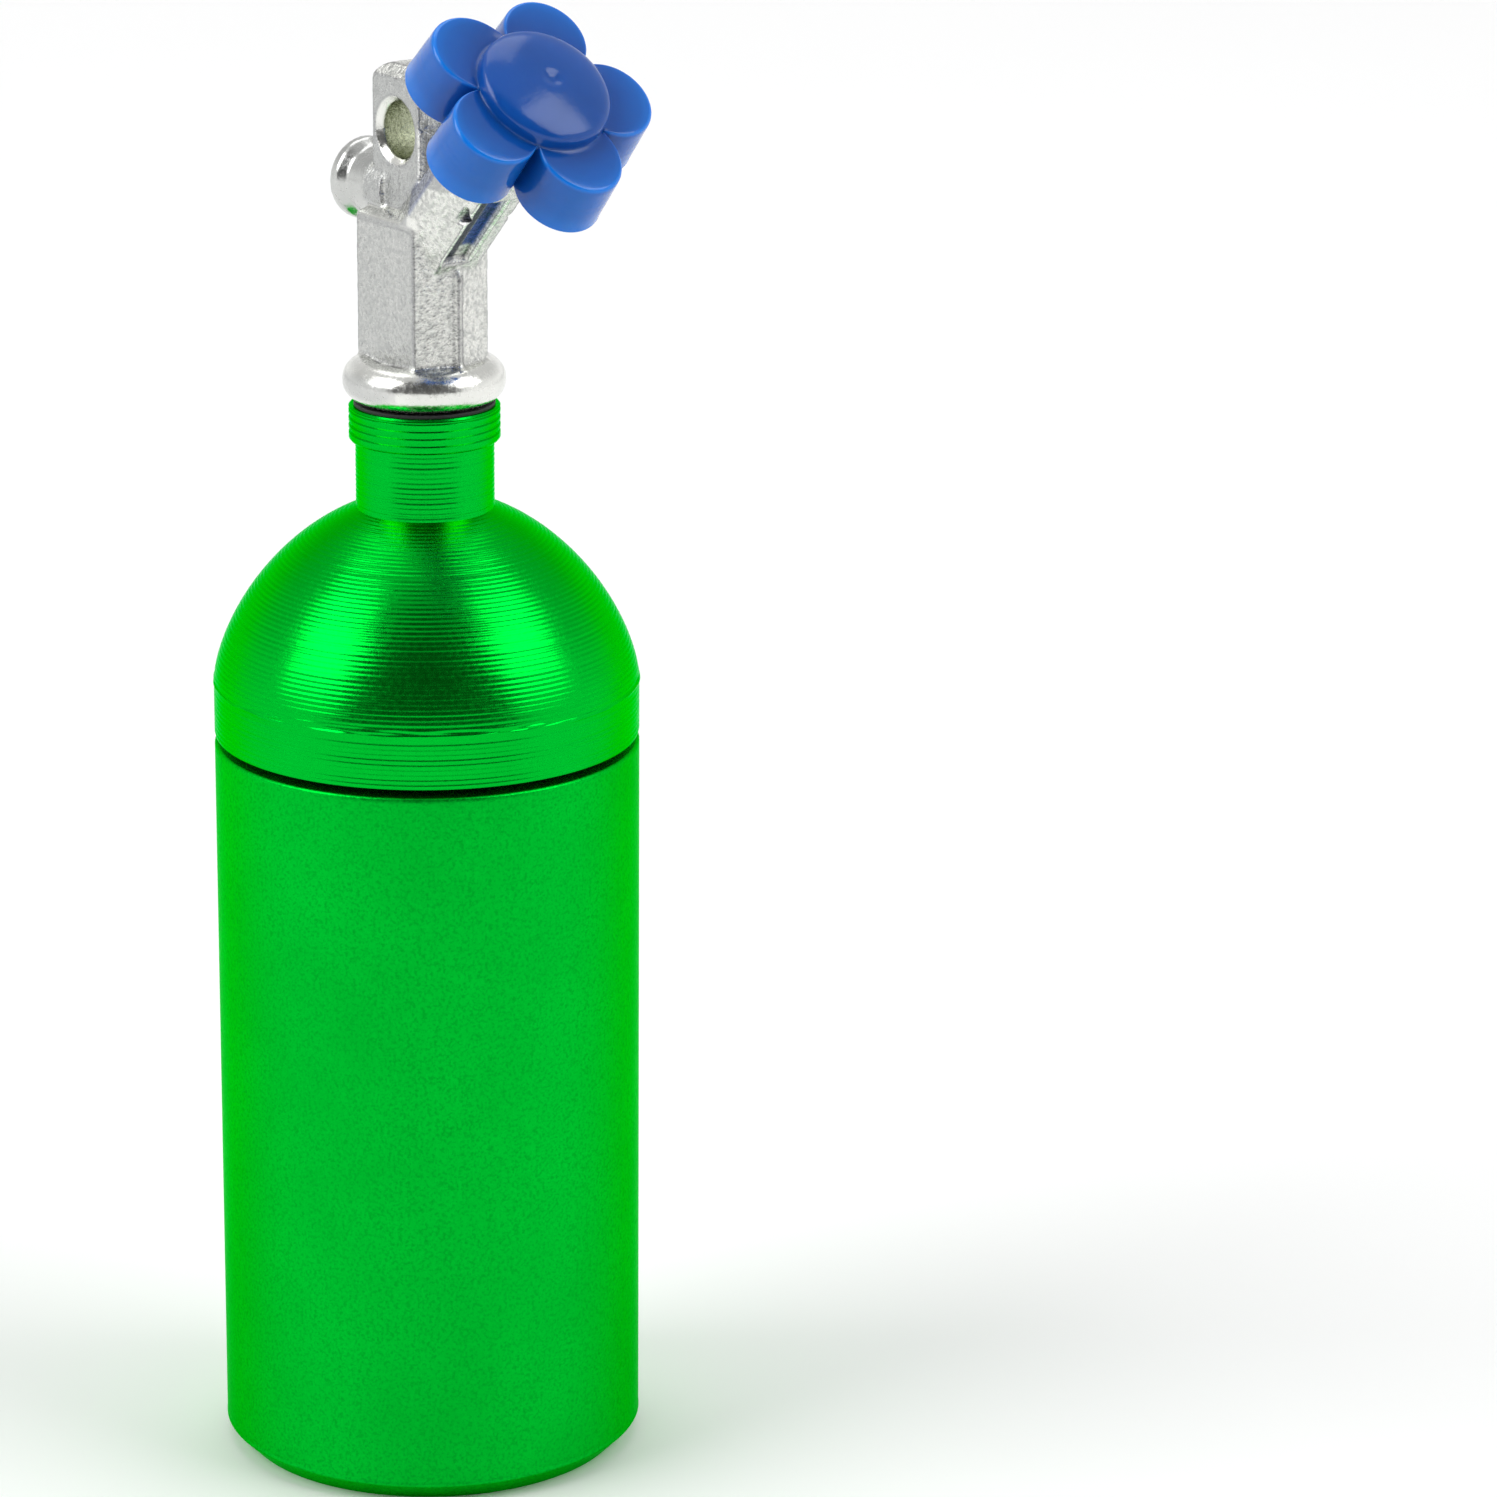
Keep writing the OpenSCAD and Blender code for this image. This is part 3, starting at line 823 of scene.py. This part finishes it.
def cast_chrome():
    """Rough-cast zinc under bright plating, with pits; painted shade, painted highlights and
    a painted reflection of the wheel are mixed into its colour.
    """
    s = Shader("cast_chrome")
    pits = s.noise(4200.0, 4.0, 0.65)
    skin = s.noise(520.0, 3.0)
    edge = s.node("ShaderNodeAttribute", attribute_name="edge").outputs["Fac"]
    recess_shade = s.node("ShaderNodeAttribute", attribute_name="recess_shade").outputs["Fac"]
    specks = s.noise(9000.0, 2.0, 0.6)
    bright = s.mixed(s.ranged(skin, 0.0, 1.0), (0.88, 0.88, 0.84), (0.76, 0.77, 0.73))
    grey = s.mixed(s.ranged(pits, 0.0, 1.0, 0.38, 0.56), (0.52, 0.53, 0.51), bright)
    plated = s.mixed(s.ranged(specks, 0.36, 0.0, 0.34, 0.44), grey, (0.36, 0.37, 0.35))
    # painted shade: dark lines along edges and under the ledge
    edge_shade_line = s.mixed(s.ranged(edge, 0.0, 0.65, 0.025, 0.06), plated, (0.20, 0.20, 0.21))
    # painted highlight on sharp edges
    wear_and_highlight = s.mixed(s.ranged(edge, 0.0, 1.0, 0.07, 0.12), edge_shade_line, (0.96, 0.96, 0.93))
    # painted shade in creases
    crease_shade = s.mixed(s.ranged(edge, 1.0, 0.0, -0.16, -0.02), wear_and_highlight, (0.12, 0.12, 0.13))
    polish_and_highlight_mask = s.node("ShaderNodeAttribute", attribute_name="polish_and_highlight").outputs["Fac"]
    # polished areas and the painted ledge highlight take the bright plating
    smooth = s.mixed(polish_and_highlight_mask, crease_shade, bright)
    shaded = s.node("ShaderNodeAttribute", attribute_name="shade").outputs["Fac"]
    # painted shade on the left of column and lug, painted dark reflection on the stub
    smooth = s.mixed(shaded, smooth, (0.40, 0.41, 0.41))
    tarnish = s.node("ShaderNodeAttribute", attribute_name="tarnish").outputs["Fac"]
    dull = s.mixed(tarnish, smooth, (0.40, 0.43, 0.30))
    wheel_reflection = s.node("ShaderNodeAttribute", attribute_name="wheel_reflection").outputs["Fac"]
    # painted reflection: the blue of the wheel on the branch
    wheel_reflected = s.mixed(wheel_reflection, dull, (0.04, 0.085, 0.30))
    # painted shade: the recess under the branch and the web darkened in the colour
    color = s.mixed(recess_shade, wheel_reflected, (0.06, 0.065, 0.085))
    rough = s.ranged(pits, 0.10, 0.34)
    calm = s.node("ShaderNodeMapRange")
    calm.inputs["To Min"].default_value = 1.0
    calm.inputs["To Max"].default_value = 0.12
    s.link(polish_and_highlight_mask, calm.inputs["Value"])
    normal = s.bump(pits, 0.00008, 1.0)
    s.link(calm.outputs["Result"], normal.node.inputs["Strength"])
    return s.finish(color, rough, normal, 1.0)


def blue_plastic():
    """Injection-moulded blue plastic: matte grain, flow lines, slight translucency, and
    painted glow where it is thin.
    """
    s = Shader("blue_plastic")
    grain = s.noise(4200.0, 3.0)
    flow = s.noise(300.0, 3.0)
    thin = s.node("ShaderNodeAttribute", attribute_name="thin").outputs["Fac"]
    body = s.mixed(s.ranged(flow, 0.0, 1.0), (0.003, 0.066, 0.32), (0.004, 0.078, 0.38))
    # painted glow: thin lobes, lips and foot lightened as if lit through
    color = s.mixed(thin, body, (0.004, 0.22, 0.80))
    rough = s.ranged(grain, 0.12, 0.19)
    normal = s.bump(grain, 0.00002, 0.3)
    mat = s.finish(color, rough, normal)
    s.bsdf.inputs["Specular IOR Level"].default_value = 0.43
    s.bsdf.inputs["Subsurface Weight"].default_value = 0.25
    s.bsdf.inputs["Subsurface Radius"].default_value = (0.0002, 0.0006, 0.0014)
    s.bsdf.inputs["Subsurface Scale"].default_value = 0.5
    return mat


def black_rubber():
    """Matte black rubber with a moulded bloom."""
    s = Shader("black_rubber")
    bloom = s.noise(900.0, 4.0)
    color = s.mixed(s.ranged(bloom, 0.0, 1.0), (0.010, 0.010, 0.011), (0.035, 0.035, 0.036))
    rough = s.ranged(bloom, 0.5, 0.75)
    normal = s.bump(s.noise(5000.0), 0.00002, 0.5)
    return s.finish(color, rough, normal)


def white_foam():
    """Closed-cell foam liner: fine cells and a slight stain."""
    s = Shader("white_foam")
    cells = s.node("ShaderNodeTexVoronoi", Scale=3200.0)
    s.link(s.place, cells.inputs["Vector"])
    stain = s.noise(240.0)
    color = s.mixed(s.ranged(stain, 0.0, 1.0), (0.80, 0.78, 0.72), (0.70, 0.68, 0.61))
    rough = s.ranged(stain, 0.7, 0.85)
    normal = s.bump(cells.outputs["Distance"], 0.00008, 0.7)
    return s.finish(color, rough, normal)


def turned_steel():
    """Plated steel with drawn lines and light handling wear."""
    s = Shader("turned_steel")
    lines = s.noise(1.0, 2.0, 0.6, where=s.stretched((500.0, 500.0, 5000.0)))
    wear = s.noise(700.0, 4.0)
    color = s.mixed(s.ranged(wear, 0.0, 1.0), (0.62, 0.62, 0.62), (0.42, 0.42, 0.43))
    rough = s.ranged(wear, 0.2, 0.42)
    normal = s.bump(lines, 0.00001, 0.5)
    return s.finish(color, rough, normal, 1.0)


def dress(obj, mat):
    obj.data.materials.clear()
    obj.data.materials.append(mat)
    for face in obj.data.polygons:
        face.material_index = 0


# ---------------------------------------------------------------- stage

def add_floor():
    """A plain pale floor."""
    half = 3.0
    mesh = bpy.data.meshes.new("floor")
    mesh.from_pydata([(-half, -half, 0), (half, -half, 0), (half, half, 0), (-half, half, 0)],
                     [], [(0, 1, 2, 3)])
    floor = bpy.data.objects.new("floor", mesh)
    SCENE.collection.objects.link(floor)
    s = Shader("floor_white")
    cloud = s.noise(3.0)
    color = s.mixed(s.ranged(cloud, 0.0, 1.0), (0.93, 0.93, 0.93), (0.91, 0.91, 0.91))
    dress(floor, s.finish(color, s.ranged(cloud, 0.8, 0.9), s.bump(cloud, 0.0001, 0.1)))


def toward(azimuth, elevation):
    """The direction out to a lamp or card, from its azimuth and elevation in degrees."""
    a, e = math.radians(azimuth), math.radians(elevation)
    return Vector((math.sin(a) * math.cos(e), -math.cos(a) * math.cos(e), math.sin(e)))


def add_world():
    """Soft white surround, dimmer overhead, with a dark card to the left of the camera."""
    world = bpy.data.worlds.new("studio")
    SCENE.world = world
    world.use_nodes = True
    tree = world.node_tree
    back = tree.nodes["Background"]
    coord = tree.nodes.new("ShaderNodeTexCoord")
    split = tree.nodes.new("ShaderNodeSeparateXYZ")
    ramp = tree.nodes.new("ShaderNodeValToRGB")
    tree.links.new(coord.outputs["Generated"], split.inputs["Vector"])
    tree.links.new(split.outputs["Z"], ramp.inputs["Fac"])
    for stop, (place, tone) in zip(ramp.color_ramp.elements, (WORLD_LOW, WORLD_HIGH)):
        stop.position = place
        stop.color = (tone, tone, tone, 1.0)
    facing = tree.nodes.new("ShaderNodeVectorMath")
    facing.operation = "DOT_PRODUCT"
    facing.inputs[1].default_value = toward(*DARK_CARD[:2])
    tree.links.new(coord.outputs["Generated"], facing.inputs[0])
    card = tree.nodes.new("ShaderNodeMapRange")
    card.interpolation_type = "SMOOTHSTEP"
    card.inputs["From Min"].default_value = math.cos(math.radians(DARK_CARD[2]))
    card.inputs["From Max"].default_value = math.cos(math.radians(DARK_CARD[3]))
    card.inputs["To Min"].default_value = 1.0
    card.inputs["To Max"].default_value = DARK_CARD_TONE
    tree.links.new(facing.outputs["Value"], card.inputs["Value"])
    dim = tree.nodes.new("ShaderNodeMix")
    dim.data_type = "RGBA"
    dim.blend_type = "MULTIPLY"
    dim.inputs["Factor"].default_value = 1.0
    tree.links.new(ramp.outputs["Color"], dim.inputs[6])
    tree.links.new(card.outputs["Result"], dim.inputs[7])
    tree.links.new(dim.outputs[2], back.inputs["Color"])
    back.inputs["Strength"].default_value = WORLD_STRENGTH


def add_light(name, azimuth, elevation, distance, size, power):
    """A soft area light aimed at the middle of the object."""
    data = bpy.data.lights.new(name, "AREA")
    data.shape = "RECTANGLE"
    data.size, data.size_y = size
    data.energy = power
    lamp = bpy.data.objects.new(name, data)
    SCENE.collection.objects.link(lamp)
    back = toward(azimuth, elevation)
    lamp.location = LAMP_AIM + back * distance
    lamp.rotation_mode = "QUATERNION"
    lamp.rotation_quaternion = (-back).to_track_quat("-Z", "Y")


def add_camera():
    """The fitted viewing angle: place, direction and lens."""
    data = bpy.data.cameras.new("view_camera")
    cam = bpy.data.objects.new("view_camera", data)
    SCENE.collection.objects.link(cam)
    data.sensor_width = 36.0
    data.lens = CAM_LENS
    data.clip_start = 0.01
    data.clip_end = 20.0
    turn = Matrix([Vector(v) for v in CAM_AXES]).transposed().to_4x4()
    cam.matrix_world = Matrix.Translation(Vector(CAM_AT) * MM) @ turn
    SCENE.camera = cam


# ---------------------------------------------------------------- build

bottle_green = anodised("anodised_blasted", 0.34, 0.46, 0.8, 0.15,
                        (0.0, 0.53, 0.031), (0.0, 0.46, 0.026))
cap_green = anodised("anodised_turned", 0.20, 0.30, 0.12, 0.5,
                     (0.0, 0.52, 0.030), (0.0, 0.47, 0.026))
chrome = cast_chrome()
plastic = blue_plastic()
rubber = black_rubber()
foam = white_foam()
steel = turned_steel()

bottle = make_bottle()
dress(bottle, bottle_green)
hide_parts("bottle_body")

cap = make_cap()
dress(cap, cap_green)
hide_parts("cap_dome")

casting = make_casting()
dress(casting, chrome)
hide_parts("valve_body")

wheel = make_wheel()
dress(wheel, plastic)
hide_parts("handwheel")

CAD_LOOKS = {
    "body_o_ring": (rubber, "black_rubber"),
    "neck_washer": (rubber, "black_rubber"),
    "stem_o_ring": (rubber, "black_rubber"),
    "cap_liner": (foam, "white_foam"),
    "valve_screw": (steel, "steel"),
    "screw_washer": (steel, "steel"),
    "handwheel_stem": (steel, "steel"),
}
for node_name, (look, slot_name) in CAD_LOOKS.items():
    dress(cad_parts[node_name], look)

add_floor()
add_world()
for lamp in LIGHTS:
    add_light(*lamp)
add_camera()
SCENE.view_settings.view_transform = "Standard"
